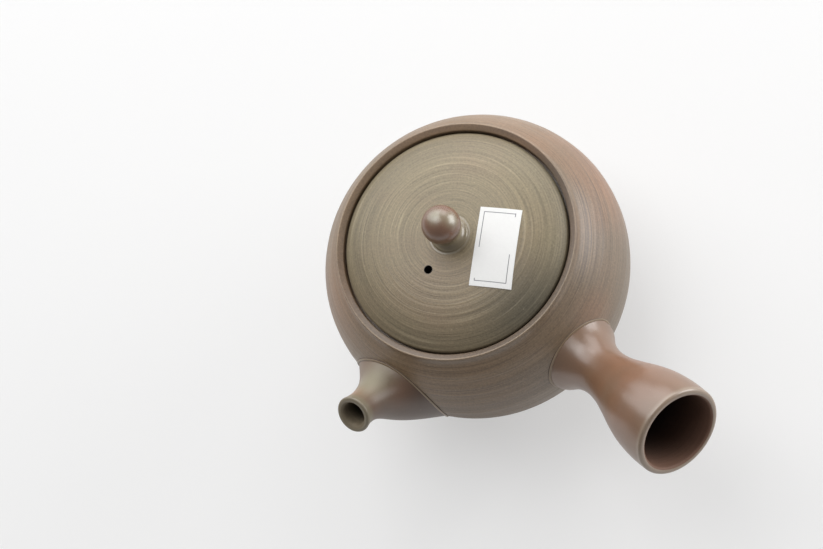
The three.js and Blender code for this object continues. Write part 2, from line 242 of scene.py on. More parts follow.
# Soft lights: azimuth and elevation from the pot in degrees, then distance, width and height
SOFTBOXES = {
    "key": (172, 40, 0.9, 0.95, 1.15),
    "top": (165, 78, 0.9, 0.5, 0.5),
    "side": (64, 12, 0.8, 0.6, 0.5),
    "back": (120, 28, 0.9, 0.7, 0.6),
}


# Sizes and colours that a user would change


def length(name, description, default):
    return FloatProperty(name=name, description=description, default=default, unit="LENGTH", precision=5)


def angle(name, description, degrees):
    return FloatProperty(name=name, description=description, default=math.radians(degrees), subtype="ANGLE")


def share(name, description, default):
    return FloatProperty(name=name, description=description, default=default, min=0, max=1, subtype="FACTOR")


def amount(name, description, default):
    return FloatProperty(name=name, description=description, default=default)


def colour(name, description, default):
    return FloatVectorProperty(
        name=name, description=description, default=default, min=0, max=1, size=3, subtype="COLOR"
    )


def count(name, description, default):
    return IntProperty(name=name, description=description, default=default, min=1)


class PotSizes(PropertyGroup):
    radius: length("Radius", "Half the width of the belly", POT_HIGH.x)
    height: length("Rim height", "Height of the rim over the foot", POT_HIGH.z)
    waist: length("Waist height", "Height of the widest place", 0.039)
    foot: length("Foot radius", "Radius of the flat foot", 0.031)
    heel: length("Heel width", "How far the rounded heel reaches past the foot", 0.002)
    heel_height: length("Heel height", "Height of the rounded heel", 0.0022)
    wall: length("Wall", "Thickness of the thrown wall", 0.003)
    floor: length("Floor", "Thickness of the floor", 0.0042)
    corner: length("Floor corner", "Width of the rounded corner between floor and wall", 0.004)
    rim_width: length("Rim width", "Width of the collar round the mouth", 0.0024)
    collar: length("Collar height", "How far the collar stands over the shoulder", 0.0024)
    crest: length("Crest rounding", "Radius of the rim's outer edge", 0.00038)
    lip: length("Lip rounding", "Radius of the rim's inner edge", 0.0007)
    rim_slope: angle("Rim slope", "How steeply the rim's top falls towards the mouth", 28)
    play: length("Lid play", "Gap round the lid", 0.0007)
    ledge: length("Ledge width", "Width of the ledge that carries the lid", 0.005)
    ledge_wall: length("Ledge thickness", "Thickness of the ledge at its inner edge", 0.0028)
    undercut: length("Ledge undercut", "Height of the slope under the ledge", 0.004)
    ripple: length("Throwing ripple", "Depth of the faint throwing rings on the wall", 0.00006)
    pour_hole: length("Pour hole radius", "Radius of the hole behind the strainer", 0.010)
    turn_steps: count("Turn steps", "Segments round the pot", 256)


class LidSizes(PropertyGroup):
    radius: length("Radius", "Half the width of the lid", LID_HIGH.x)
    rise: length("Rise", "Height of the dome over the edge", 0.0071)
    curve: amount("Dome power", "Power of the dome's fall to the edge", 4)
    edge_round: length("Edge rounding", "Radius of the rounded edge", 0.0007)
    wall: length("Thickness", "Thickness of the lid", 0.0032)
    comb: length("Comb depth", "Depth of the combed turning rings", 0.00005)
    vent: length("Vent radius", "Radius of the vent hole", 0.0014)
    vent_reach: length("Vent distance", "Distance of the vent hole from the axis", 0.0136)
    vent_angle: angle("Vent direction", "Direction of the vent hole from the handle", -78.4)
    ring_wall: length("Ring wall", "Thickness of the ring under the lid", 0.0026)
    ring_round: length("Ring rounding", "Rounding of the ring's lower edges", 0.0008)


class KnobSizes(PropertyGroup):
    radius: length("Ball radius", "Radius of the ball", KNOB_HIGH.x)
    neck: length("Neck radius", "Radius of the neck under the ball", 0.0039)
    base: length("Base radius", "Radius of the base on the lid", 0.0061)
    base_edge: length("Base edge", "Height of the base's edge", 0.0006)
    slip: length("Slip fillet", "Width of the slip that joins the base to the lid", 0.0009)
    groove: length("Groove depth", "Depth of the turned grooves on the base", 0.00016)


class SpoutSizes(PropertyGroup):
    direction: angle("Direction", "Direction of the spout from the handle", -77.9)
    tip_reach: length("Tip distance", "Distance of the tip from the pot's axis", 0.067)
    tip_height: length("Tip height", "Height of the tip over the foot", 0.0649)
    tip_slope: angle("Tip slope", "Slope of the centre line at the tip", 36.8)
    cut_slope: angle("Mouth slope", "Slope of the line square to the mouth", 46)
    root_depth: length("Root depth", "How far the centre line starts inside the belly", 0.011)
    root_height: length("Root height", "Height where the centre line starts", 0.0439)
    root_slope: angle("Root slope", "Slope of the centre line where it starts", 15.5)
    root: length("Root radius", "Radius where the centre line starts", 0.0252)
    neck: length("Neck radius", "Radius of the neck behind the lip", 0.00525)
    tip: length("Lip radius", "Radius of the lip", 0.0065)
    flare: amount("Flare power", "Power of the flare to the root", 2.33)
    bore: length("Bore radius", "Radius of the bore at the tip", 0.00400)
    wall: length("Wall", "Thickness of the spout's wall", 0.0021)
    bend: share("Bend", "Length of the centre line's handles as a share of its span", 0.417)
    lip_start: share("Lip start", "Share of the length where the lip starts to swell", 0.76)


class HandleSizes(PropertyGroup):
    root_height: length("Root height", "Height of the root's centre over the foot", 0.0435)
    sink: length("Root sink", "How far the root circle lies inside the belly's radius", 0.001)
    slope: angle("Slope", "Upward slope of the handle", 23)
    reach: length("Length", "Length from the root circle to the end", 0.0516)
    root: length("Root radius", "Radius of the root circle", 0.0134)
    waist: length("Waist radius", "Radius at the narrowest place", 0.0086)
    end: length("End radius", "Radius of the open end", 0.0154)
    wall: length("Wall", "Thickness of the handle's wall", 0.0024)


class StrainerSizes(PropertyGroup):
    radius: length("Radius", "Radius of the dome where it meets the wall", 0.0145)
    bulge: length("Bulge", "How far the dome stands in from the wall", 0.008)
    wall: length("Thickness", "Thickness of the dome", 0.002)
    reach_angle: angle("Reach", "Half of the angle that the dome covers", 53)
    hole: length("Hole radius", "Radius of a hole", 0.0009)
    pitch: length("Pitch", "Distance between rings of holes", 0.0034)
    rings: count("Rings", "Rings of holes round the middle one", 3)
    ring_holes: count("Holes per ring", "Holes that each ring has more than the one inside it", 6)


class JoinSizes(PropertyGroup):
    sink: length("Sink", "How far spout and handle reach into the pot's skin", 0.0003)
    spout_bead: length("Spout bead", "Width of the slip bead round the spout", 0.0012)
    spout_height: length("Spout bead height", "Height of the slip bead round the spout", 0.00038)
    handle_bead: length("Handle bead", "Width of the slip bead round the handle", 0.0011)
    handle_height: length("Handle bead height", "Height of the slip bead round the handle", 0.00022)


class LabelSizes(PropertyGroup):
    width: length("Length", "Length of the paper", 0.0269)
    height: length("Width", "Width of the paper", 0.0139)
    thickness: length("Thickness", "Thickness of the paper", 0.00014)
    distance: length("Distance", "Distance of its centre from the lid's axis", 0.0165)
    direction: angle("Direction", "Direction of its centre from the handle", 23.3)
    turn: angle("Turn", "Direction of its long edge from the handle", -55.2)


class ClayColours(PropertyGroup):
    belly: colour("Belly", "Brown of the pot's wall", (0.220, 0.145, 0.083))
    # Also painted sheen: this grey is laid on the side towards the side light
    belly_grey: colour("Belly, greyed", "Greyer clouds on the pot's wall", (0.182, 0.143, 0.103))
    # Also painted highlight: this pale is laid on the upper far side and along the rim's crest
    belly_pale: colour("Belly, pale", "Pale turning bands on the pot's wall", (0.330, 0.252, 0.175))
    flush: colour("Flush", "Orange flush on the shoulder", (0.310, 0.155, 0.083))
    # Also painted shade: this dark is laid on the rim's inner slope and on the lower half of the knob's ball
    streak_and_shade: colour("Streak", "Dark turning streaks", (0.100, 0.070, 0.050))
    # Painted shade: this dark is laid in the creases beside the slip, deep in the bores, low between spout
    # and handle, and on one side of the spout
    seam: colour("Seam", "Dark line beside the slip of the joins", (0.045, 0.028, 0.020))
    smooth: colour("Smooth clay", "Burnished handle and spout", (0.225, 0.108, 0.058))
    smooth_grey: colour("Smooth clay, greyed", "Greyer clouds on handle and spout", (0.185, 0.134, 0.087))
    # Also a painted highlight along the handle's lip
    worn: colour("Worn clay", "Paler clay on the worn lip of the handle", (0.290, 0.215, 0.155))
    tip: colour("Spout tip", "Olive grey of the spout's crown and lip", (0.200, 0.172, 0.115))
    bore: colour("Bore", "Reddish clay inside the handle", (0.200, 0.112, 0.078))
    khaki: colour("Khaki bore", "Olive clay inside the spout", (0.185, 0.150, 0.100))
    lid: colour("Lid", "Olive clay of the lid", (0.250, 0.203, 0.121))
    lid_warm: colour("Lid, warm", "Warmer clouds on the lid", (0.240, 0.168, 0.105))
    lid_edge: colour("Lid, edge", "Darker olive towards the lid's edge", (0.150, 0.130, 0.088))
    # Painted shade: this dark is laid on the lid's edge towards the handle
    lid_painted_shade: colour("Lid, dark", "Slate patch of the lid towards the handle", (0.085, 0.078, 0.058))
    slip: colour("Slip", "Olive slip round the knob's base", (0.230, 0.182, 0.112))
    knob: colour("Knob", "Reddish brown of the ball", (0.185, 0.092, 0.055))
    # Also painted highlights: this pale is laid where the knob and the spout's crown catch the light
    ash: colour("Ash", "Pale grey olive that ash leaves on the ball", (0.300, 0.280, 0.190))
    inside: colour("Inside", "Unburnished clay inside", (0.150, 0.098, 0.068))
    # Painted shade: this dark fills the vent hole and its edge
    vent_shade: colour("Pit", "Unlit clay in the vent hole", (0.012, 0.010, 0.008))
    paper: colour("Paper", "White label paper", (0.86, 0.86, 0.85))
    ink: colour("Ink", "Grey printed line", (0.20, 0.20, 0.22))


class StageSettings(PropertyGroup):
    view_azimuth: angle("View azimuth", "Direction from the pot to the camera, from the handle", -3.5)
    view_elevation: angle("View elevation", "Height of the camera over the horizon", 65.73)
    view_roll: angle("View roll", "Turn of the camera about its line of sight", -44.91)
    view_distance: length("View distance", "Distance from the aim to the camera", 0.6)
    aim: FloatVectorProperty(
        name="Aim", description="Place in the middle of the picture", subtype="TRANSLATION",
        default=(0.0086, -0.0187, 0.0930),
    )
    lens: amount("Lens", "Focal length in millimetres", 82.88)
    fill: amount("Fill light", "Strength of the light from all round", 0.22)
    glow: amount("Floor glow", "Strength of the light that the floor gives off", 0.47)
    key: amount("Key light", "Power of the large soft light, in watts", 6.9)
    top: amount("Top light", "Power of the light overhead, in watts", 1.7)
    side: amount("Side light", "Power of the low light on the far side, in watts", 4.6)
    back: amount("Back light", "Power of the light behind the handle's root, in watts", 3.2)
    sky: colour("Room", "Pale room all round", (0.95, 0.94, 0.93))
    backdrop: colour("Backdrop", "Pale floor", (0.42, 0.42, 0.42))


class TeapotSettings(PropertyGroup):
    pot: PointerProperty(type=PotSizes)
    lid: PointerProperty(type=LidSizes)
    knob: PointerProperty(type=KnobSizes)
    spout: PointerProperty(type=SpoutSizes)
    handle: PointerProperty(type=HandleSizes)
    strainer: PointerProperty(type=StrainerSizes)
    joins: PointerProperty(type=JoinSizes)
    label: PointerProperty(type=LabelSizes)
    clay: PointerProperty(type=ClayColours)
    stage: PointerProperty(type=StageSettings)


# Shapes. Outlines are lists of (radius, height) points, turned about the pot's axis


def direction_of(azimuth, elevation):
    level = math.cos(elevation)
    return Vector((level * math.cos(azimuth), level * math.sin(azimuth), math.sin(elevation)))


def arc(centre, radii, start, end, steps):
    """Points of an ellipse from one angle to another, in degrees from the radius axis."""
    angles = [math.radians(start + (end - start) * i / steps) for i in range(steps + 1)]
    return [(centre[0] + radii[0] * math.cos(a), centre[1] + radii[1] * math.sin(a)) for a in angles]


def rounded(start, corner, end, steps):
    """A corner of an outline, rounded off between two points."""
    points = []
    for i in range(steps + 1):
        t = i / steps
        weights = ((1 - t) ** 2, 2 * t * (1 - t), t ** 2)
        points.append(tuple(
            sum(weight * point[axis] for weight, point in zip(weights, (start, corner, end)))
            for axis in (0, 1)
        ))
    return points


def straight(start, end, steps):
    return [tuple(Vector(start).lerp(Vector(end), i / steps)) for i in range(steps + 1)]


def spun(outline, steps, closed=False):
    """A solid of revolution. Its outline starts and ends on the axis, or is closed on itself."""
    bm = bmesh.new()
    verts = [bm.verts.new((radius, 0, height)) for radius, height in outline]
    followers = verts[1:] + verts[:1] if closed else verts[1:]
    edges = [bm.edges.new(pair) for pair in zip(verts, followers)]
    bmesh.ops.spin(
        bm, geom=verts + edges, cent=(0, 0, 0), axis=UP, dvec=(0, 0, 0),
        angle=FULL_TURN, steps=steps, use_merge=True, use_duplicate=False,
    )
    bmesh.ops.remove_doubles(bm, verts=bm.verts[:], dist=WELD)
    bmesh.ops.recalc_face_normals(bm, faces=bm.faces[:])
    return bm


def mesh_of(name, bm):
    """Hands what was modelled over to a mesh."""
    mesh = bpy.data.meshes.new(name)
    bm.to_mesh(mesh)
    bm.free()
    return mesh


def placed(name, data):
    """Puts a mesh, a light or a camera into the scene."""
    thing = bpy.data.objects.new(name, data)
    bpy.context.scene.collection.objects.link(thing)
    return thing


def shade(mesh):
    mesh.shade_smooth()
    mesh.set_sharp_from_angle(angle=SHARP_EDGE)


def finished(name, bm, body, materials, replaces=()):
    """Turns a mesh into a shaded piece that rides on a body."""
    mesh = mesh_of(name, bm)
    for material in materials:
        mesh.materials.append(material)
    shade(mesh)
    piece = placed(name, mesh)
    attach(piece, body)
    if replaces:
        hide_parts(*replaces)
    return piece


def cut(piece, bm):
    """Cuts a solid out of a piece."""
    mesh = mesh_of("cutter", bm)
    cutter = placed("cutter", mesh)
    modifier = piece.modifiers.new("cut", "BOOLEAN")
    modifier.operation = "DIFFERENCE"
    modifier.solver = "EXACT"
    modifier.object = cutter
    whole = piece.data
    graph = bpy.context.evaluated_depsgraph_get()
    result = bpy.data.meshes.new_from_object(piece.evaluated_get(graph))
    piece.modifiers.clear()
    piece.data = result
    bpy.data.meshes.remove(whole)
    bpy.data.objects.remove(cutter)
    bpy.data.meshes.remove(mesh)
    result.name = piece.name
    shade(result)


def drill(bm, radius, depth, steps, matrix):
    """Adds a cylinder for cutting a hole. Before it is placed, it stands about Z at the origin."""
    bmesh.ops.create_cone(
        bm, cap_ends=True, segments=steps, radius1=radius, radius2=radius, depth=depth, matrix=matrix
    )


class Form:
    """The pot's outer form and the sizes that follow from those a user sets."""

    def __init__(self, settings):
        pot, lid = settings.pot, settings.lid
        self.pot = pot
        self.lid = lid
        self.mouth = lid.radius + pot.play
        self.throat = self.mouth - pot.ledge
        self.rim_outer = self.mouth + pot.rim_width
        self.drop = pot.waist / math.sqrt(1 - ((pot.foot + pot.heel) / pot.radius) ** 2)
        shoulder = pot.height - pot.collar - pot.waist
        self.rise = shoulder / math.sqrt(1 - (self.rim_outer / pot.radius) ** 2)
        self.ledge = LID_LOW.z - REST_GAP
        self.lid_edge = LID_HIGH.z - lid.rise

    def lid_top(self, radius):
        """Height of the lid's top at a distance from the axis."""
        return self.lid_edge + self.lid.rise * (1 - (radius / self.lid.radius) ** self.lid.curve)

    def outside(self, point, sink):
        """Above zero where a point is outside the pot's skin, with the skin moved in by a distance."""
        radius = math.hypot(point.x, point.y)
        vertical = self.rise if point.z > self.pot.waist else self.drop
        across = radius / (self.pot.radius - sink)
        up = (point.z - self.pot.waist) / (vertical - sink)
        return min(across ** 2 + up ** 2 - 1, radius / (self.rim_outer - sink) - 1)

    def normal(self, point):
        """Direction that the pot's skin faces at a point on it."""
        vertical = self.rise if point.z > self.pot.waist else self.drop
        flat = self.pot.radius ** 2
        up = (point.z - self.pot.waist) / vertical ** 2
        return Vector((point.x / flat, point.y / flat, up)).normalized()


class CentreLine:
    """A smooth line through space, read by the share of its length."""

    def __init__(self, start, start_handle, end_handle, end):
        self.points = interpolate_bezier(start, start_handle, end_handle, end, LINE_POINTS)
        self.lengths = [0]
        for a, b in zip(self.points, self.points[1:]):
            self.lengths.append(self.lengths[-1] + (b - a).length)
        self.length = self.lengths[-1]

    def at(self, share):
        """The point and the direction of the line at a share of its length."""
        wanted = min(max(share, 0), 1) * self.length
        i = min(max(bisect.bisect_right(self.lengths, wanted) - 1, 0), len(self.points) - 2)
        span = self.lengths[i + 1] - self.lengths[i]
        mix = (wanted - self.lengths[i]) / span
        before = self.points[i] - self.points[max(i - 1, 0)]
        here = self.points[i + 1] - self.points[i]
        after = self.points[min(i + 2, len(self.points) - 1)] - self.points[i + 1]
        entering = (before + here).normalized()
        leaving = (here + after).normalized()
        return self.points[i].lerp(self.points[i + 1], mix), entering.lerp(leaving, mix).normalized()


class Tube:
    """A thrown tube on a centre line, which stands on the pot's skin."""

    def __init__(self, form, line, outer, inner, direction, slant=0):
        self.form = form
        self.line = line
        self.outer = outer
        self.inner = inner
        self.swing = Matrix.Rotation(direction, 3, "Z")
        self.slant = math.tan(slant)
        self.roots = {}

    def point(self, turn, wall_share, share):
        """A point of the wall: wall_share is 0 in the bore and 1 on the outside."""
        centre, tangent = self.line.at(share)
        side = Vector((0, 1, 0))
        across = side.cross(tangent)
        inner = self.inner(share)
        radius = inner + (self.outer(share) - inner) * wall_share
        near_tip = min(max((share - SLANT_START) / (1 - SLANT_START), 0), 1)
        lean = radius * math.cos(turn) * self.slant * near_tip ** 2 * (3 - 2 * near_tip)
        return self.swing @ (
            centre + across * (radius * math.cos(turn)) + side * (radius * math.sin(turn)) + tangent * lean
        )

    def root(self, turn, wall_share, sink):
        """Share of the line where the wall leaves the pot's skin, moved in by a distance."""
        key = (round(turn, 5), round(wall_share, 5), sink)
        if key not in self.roots:
            low, high = 0, 1
            for _ in range(ROOT_HALVINGS):
                middle = (low + high) / 2
                if self.form.outside(self.point(turn, wall_share, middle), sink) > 0:
                    high = middle
                else:
                    low = middle
            self.roots[key] = high
        return self.roots[key]

    def build(self, rows, sink, lip_round):
        """The tube's mesh, from the pot's skin to a rounded lip and back along the bore."""
        lip = lip_round / self.line.length
        outside = [(2, t) for t in eased(rows, 1 - lip)]
        lip_points = arc((1.5, 1 - lip), (0.5, lip), 0, 180, steps=12)
        bore = [(1, t) for t in reversed(eased(rows, 1 - lip))]
        bm = spun(outside + lip_points[1:-1] + bore, TUBE_SIDES, closed=True)
        bores = {}
        for vert in bm.verts:
            turn = math.atan2(vert.co.y, vert.co.x)
            wall_share = math.hypot(vert.co.x, vert.co.y) - 1
            start = self.root(turn, wall_share, sink)
            vert.co = self.point(turn, wall_share, start + (1 - start) * vert.co.z)
            bores[vert] = wall_share
        for face in bm.faces:
            face.material_index = int(max(bores[vert] for vert in face.verts) < BORE_SHARE)
        bmesh.ops.recalc_face_normals(bm, faces=bm.faces[:])
        return bm

    def bead(self, width, height, seed):
        """A bead of slip along the tube's root, with its own attribute for the place across it."""
        ring = arc((2, 0), (1, 1), 0, 360, steps=16)[:-1]
        bm = spun(ring, BEAD_STEPS, closed=True)
        across_layer = bm.verts.layers.float.new(ACROSS)
        for vert in bm.verts:
            turn = math.atan2(vert.co.y, vert.co.x)
            wide = math.hypot(vert.co.x, vert.co.y) - 2
            high = vert.co.z
            share = self.root(turn, 1, 0)
            seam = self.point(turn, 1, share)
            normal = self.form.normal(seam)
            away = seam - self.swing @ self.line.at(share)[0]
            away = (away - normal * away.dot(normal)).normalized()
            worn = 1 + BEAD_WEAR * noise.noise(seam * BEAD_WEAR_SCALE + Vector((seed, 0, 0)))
            vert[across_layer] = wide
            centre = seam + away * (width * BEAD_OFFSET * worn)
            vert.co = centre + away * (wide * width / 2 * worn) + normal * (high * height * worn)
        bmesh.ops.recalc_face_normals(bm, faces=bm.faces[:])
        return bm


def eased(rows, end):
    """Shares from 0 to an end, closer together near the end."""
    return [end * (1 - (1 - i / rows) ** EASE) for i in range(rows + 1)]


# Materials


def arithmetic(operation, reflected=False):
    """One of Python's operators on a signal, as a Math node."""

    def method(self, other):
        values = (other, self) if reflected else (self, other)
        return self.shader.math(operation, *values)

    return method


class Signal:
    """A value in a shader. Plain arithmetic on it adds Math nodes."""

    def __init__(self, shader, socket):
        self.shader = shader
        self.socket = socket

    __add__ = __radd__ = arithmetic("ADD")
    __sub__ = arithmetic("SUBTRACT")
    __rsub__ = arithmetic("SUBTRACT", reflected=True)
    __mul__ = __rmul__ = arithmetic("MULTIPLY")
    __truediv__ = arithmetic("DIVIDE")
    __rtruediv__ = arithmetic("DIVIDE", reflected=True)
    __pow__ = arithmetic("POWER")


class Shader:
    """A material of one Principled surface, built up node by node."""

    def __init__(self, name):
        self.name = name
        self.material = bpy.data.materials.new(name)
        self.material.use_nodes = True
        self.tree = self.material.node_tree
        self.tree.nodes.clear()

    def node(self, kind, settings=None, sockets=None):
        """A node with its settings, and then the values or links of its sockets."""
        node = self.tree.nodes.new(kind)
        for key, value in (settings or {}).items():
            setattr(node, key, value)
        for key, value in (sockets or {}).items():
            if isinstance(value, Signal):
                self.tree.links.new(value.socket, node.inputs[key])
            else:
                node.inputs[key].default_value = value
        return node

    def math(self, operation, *values):
        node = self.node("ShaderNodeMath", {"operation": operation}, dict(enumerate(values)))
        return Signal(self, node.outputs[0])

    def vector(self, x, y, z):
        return Signal(self, self.node("ShaderNodeCombineXYZ", {}, {0: x, 1: y, 2: z}).outputs[0])

    def coordinates(self):
        """Object coordinates, as one vector and as x, y and z."""
        place = Signal(self, self.node("ShaderNodeTexCoord").outputs["Object"])
        return (place, *self.split(place))

    def split(self, vector):
        parts = self.node("ShaderNodeSeparateXYZ", {}, {0: vector})
        return tuple(Signal(self, socket) for socket in parts.outputs)

    def moved(self, vector, location, rotation):
        """Coordinates measured from a place and turned about Z."""
        settings = {"vector_type": "TEXTURE"}
        sockets = {"Vector": vector, "Location": location, "Rotation": (0, 0, rotation)}
        return Signal(self, self.node("ShaderNodeMapping", settings, sockets).outputs[0])

    def step(self, value, low, high):
        """Rises smoothly from 0 at low to 1 at high."""
        settings = {"interpolation_type": "SMOOTHSTEP"}
        sockets = {"Value": value, "From Min": low, "From Max": high}
        return Signal(self, self.node("ShaderNodeMapRange", settings, sockets).outputs[0])

    def band(self, value, middle, reach):
        """1 at the middle of a band, falling smoothly to 0 at its edges."""
        return 1 - self.step(self.math("ABSOLUTE", value - middle), 0, reach)

    def between(self, value, low, high):
        """1 from low to high, and 0 a blur outside them."""
        return self.step(value, low - LINE_BLUR, low) * self.step(value, high + LINE_BLUR, high)

    def texture(self, vector, name):
        """Noise with the sizes of a named texture, or its patches."""
        scale, detail, roughness, *span = TEXTURES[name]
        sockets = {"Vector": vector, "Scale": scale, "Detail": detail, "Roughness": roughness}
        node = self.node("ShaderNodeTexNoise", {"noise_dimensions": "3D"}, sockets)
        noise = Signal(self, node.outputs[0])
        return self.step(noise, *span) if span else noise

    def turning(self, place, across, name):
        """Noise drawn out round the pot's axis, as turning marks are."""
        lines, breaks = TURNING[name]
        x, y, _ = self.split(place)
        radius = distance(x, y) + AXIS_GUARD
        drawn = self.vector(x / radius * breaks, y / radius * breaks, across * lines)
        return self.texture(drawn, "turning")

    def spots(self, place, name):
        """1 in the middle of each named spot, falling smoothly to 0 at its reach."""
        result = 0
        for middle, reach in SPOTS[name]:
            node = self.node("ShaderNodeVectorMath", {"operation": "DISTANCE"}, {0: place, 1: middle})
            result = 1 - self.step(Signal(self, node.outputs["Value"]), 0, reach) + result
        return result

    def mix(self, factor, first, second):
        """Two colours mixed."""
        first, second = (
            colour if isinstance(colour, Signal) else (*colour, 1) for colour in (first, second)
        )
        node = self.node("ShaderNodeMix", {"data_type": "RGBA"}, {0: factor, 6: first, 7: second})
        return Signal(self, node.outputs[2])

    def coated(self, colour, *coats):
        """A colour under coats of others, each laid on through its own mask."""
        for mask, coat in coats:
            colour = self.mix(mask, colour, coat)
        return colour

    def scaled(self, colour, factor):
        """A colour made lighter or darker."""
        node = self.node("ShaderNodeVectorMath", {"operation": "SCALE"}, {0: colour, "Scale": factor})
        return Signal(self, node.outputs[0])

    def surface(self, colour, uneven, height, **constants):
        """Finishes the material: uneven adds to its roughness, and height is its relief from 0 to 1."""
        roughness, depth, specular, index = FINISHES[self.name]
        bump = self.node("ShaderNodeBump", {}, {"Strength": 1, "Distance": depth, "Height": height})
        sockets = {
            "Base Color": colour, "Roughness": uneven + roughness, "Normal": Signal(self, bump.outputs[0]),
            "Specular IOR Level": specular, "IOR": index,
        }
        sockets.update({key.replace("_", " "): value for key, value in constants.items()})
        principled = self.node("ShaderNodeBsdfPrincipled", {}, sockets)
        self.node("ShaderNodeOutputMaterial", {}, {"Surface": Signal(self, principled.outputs[0])})
        return self.material


def distance(x, y):
    """How far a place in the shader lies from where x and y are 0."""
    return (x * x + y * y) ** 0.5


def past(end, out, x, y, z):
    """How far a place in the shader lies past an end, along a direction."""
    return x * out.x + y * out.y + z * out.z - end.dot(out)


def clay_surface(shader, place, colour, uneven, lines, sandy=True):
    """Adds what the clay has: fine grain, some unevenness and, outside the bores, pale grains of sand."""
    grain = shader.texture(place, "grain")
    if sandy:
        colour = shader.mix(shader.texture(place, "sand") * SAND_SHARE, colour, SAND_COLOUR)
    colour = shader.scaled(colour, 0.90 + grain * 0.20)
    return shader.surface(colour, uneven + grain * 0.10 - 0.05, grain * 0.35 + lines)


def belly_clay(clay, form):
    """Thrown wall: long turning streaks, grey clouds and orange flushes from the kiln, with painted sheen
    greying the side towards the side light, painted highlights on the upper far side and on the rim's crest,
    and painted shade low between spout and handle and on the rim's inner slope.
    """
    shader = Shader("turned_clay")
    place, x, y, z = shader.coordinates()
    radius = distance(x, y)
    latitude = shader.math("ARCTAN2", z - form.pot.waist, radius) * form.pot.radius
    broad, medium, fine = (
        shader.turning(place, latitude, name) for name in ("belly, broad", "belly, medium", "belly, fine")
    )
    speckle = shader.texture(place, "belly speckle")
    # Painted sheen: greyer on the side towards the side light
    greyer = shader.step(x * 0.5 + y * 0.5, *SHEEN_SIDE)
    far_side = shader.step(y * 0.9 + z * 0.55, *FLUSH_SIDE) * shader.texture(place, "belly flush")
    streaks = shader.step(medium, *DARK_STREAKS) * shader.texture(place, "belly streaks")
    # Painted shade: a soft dark spot low between spout and handle
    painted_low_shade = shader.spots(place, "painted_low_shade")
    crest = form.rim_outer - form.pot.crest
    upper = shader.step(z, form.pot.waist, form.pot.height)
    # Painted shade on the rim's inner slope
    inner_slope = shader.step(radius, crest, crest - form.pot.crest) * upper
    crest_highlight = shader.band(radius, crest, CREST_HIGHLIGHT) * upper
    colour = shader.coated(
        clay.belly,
        # Grey clouds, and painted sheen greying the side towards the side light
        (shader.texture(place, "belly clouds") * 0.35 + greyer * 0.65, clay.belly_grey),
        (far_side * 0.7 + shader.spots(place, "belly flushes") * 0.4, clay.flush),
        # Painted highlight: paler on the upper far side
        (far_side * shader.step(x, *HIGHLIGHT_SIDE) * 0.6, clay.belly_pale),
        (shader.step(broad, *PALE_BANDS) * 0.26, clay.belly_pale),
        (streaks * 0.7, clay.streak_and_shade),
        # Painted shade low between spout and handle
        (painted_low_shade * 0.45, clay.seam),
        # Painted shade on the rim's inner slope, strongest towards the handle
        (inner_slope * (shader.step(x, *RIM_SHADE) * 0.45 + 0.25), clay.streak_and_shade),
        # Painted highlight along the rim's crest
        (crest_highlight * 0.5, clay.belly_pale),
    )
    colour = shader.scaled(colour, fine * 0.95 + medium * 0.35 + speckle * 0.7)
    lines = fine * 0.6 + medium * 0.8 + broad * 0.6
    return clay_surface(shader, place, colour, fine * 0.08 + painted_low_shade * 0.2, lines)


def smooth_clay(name, tint):
    """Burnished clay, with a tint of its own on each piece that has it."""
    shader = Shader(name)
    place, x, y, z = shader.coordinates()
    clouds = shader.texture(place, "smooth clouds")
    colour = tint(shader, place, x, y, z, clouds)
    colour = shader.scaled(colour, 0.88 + shader.texture(place, "smooth mottle") * 0.24)
    lines = shader.texture(place, "smooth lines") * 0.5
    return clay_surface(shader, place, colour, clouds * 0.05, lines)


def handle_clay(clay, end, out):
    """Most orange about the handle's waist, greyer at its root and end, and paler on its lip, as wear and as
    a painted highlight.
    """

    def tint(shader, place, x, y, z, clouds):
        warm = shader.band(x, *HANDLE_WARM)
        lip = shader.step(past(end, out, x, y, z), *HANDLE_LIP)
        return shader.coated(
            clay.smooth,
            (clouds * 0.5 + 0.55 - warm * 0.55, clay.smooth_grey),
            # Worn lip, lightened also as a painted highlight
            (lip * 0.85, clay.worn),
        )

    return smooth_clay("handle_clay", tint)


def spout_clay(clay, tip, out):
    """Brown, olive on its crown and lip, with a painted highlight on the crown, reddish flashes by the root
    and behind the lip, and painted shade low down and on its side towards the handle.
    """

    def tint(shader, place, x, y, z, clouds):
        lip = shader.step(past(tip, out, x, y, z), *SPOUT_LIP)
        return shader.coated(
            clay.smooth,
            (clouds * 0.4 + 0.4, clay.smooth_grey),
            # Olive crown, lightened as a painted highlight
            (shader.spots(place, "spout crown and highlight") * 0.8, clay.ash),
            (shader.spots(place, "spout flashes") * 0.8, clay.flush),
            # Painted shade on the spout's low side
            (shader.spots(place, "painted_low_shade") * 0.6, clay.streak_and_shade),
            # Painted shade on the spout's side towards the handle
            (shader.step(x, *SPOUT_SHADE) * 0.6, clay.seam),
            (lip * 0.85, clay.tip),
        )

    return smooth_clay("spout_clay", tint)


def knob_clay(clay, knob):
    """Reddish ball with two pale ash-coloured patches that are painted highlights, painted shade below, on a
    neck and base of the lid's olive slip.
    """
    middle = KNOB_HIGH.z - knob.radius

    def tint(shader, place, x, y, z, clouds):
        above = (z - middle) / knob.radius
        ball = shader.coated(
            clay.knob,
            (clouds * 0.3, clay.smooth_grey),
            # Two painted highlights in an ash colour
            (shader.spots(place, "knob highlights") * 0.8, clay.ash),
            # Painted shade on the ball's lower half
            (shader.step(above, *KNOB_SHADE) * 0.7, clay.streak_and_shade),
        )
        rings = shader.texture(shader.vector(0, 0, z + distance(x, y)), "knob rings")
        slip = shader.mix(rings * 0.6, clay.slip, clay.lid)
        return shader.mix(shader.step(z, *KNOB_SLIP_END), slip, ball)

    return smooth_clay("knob_clay", tint)


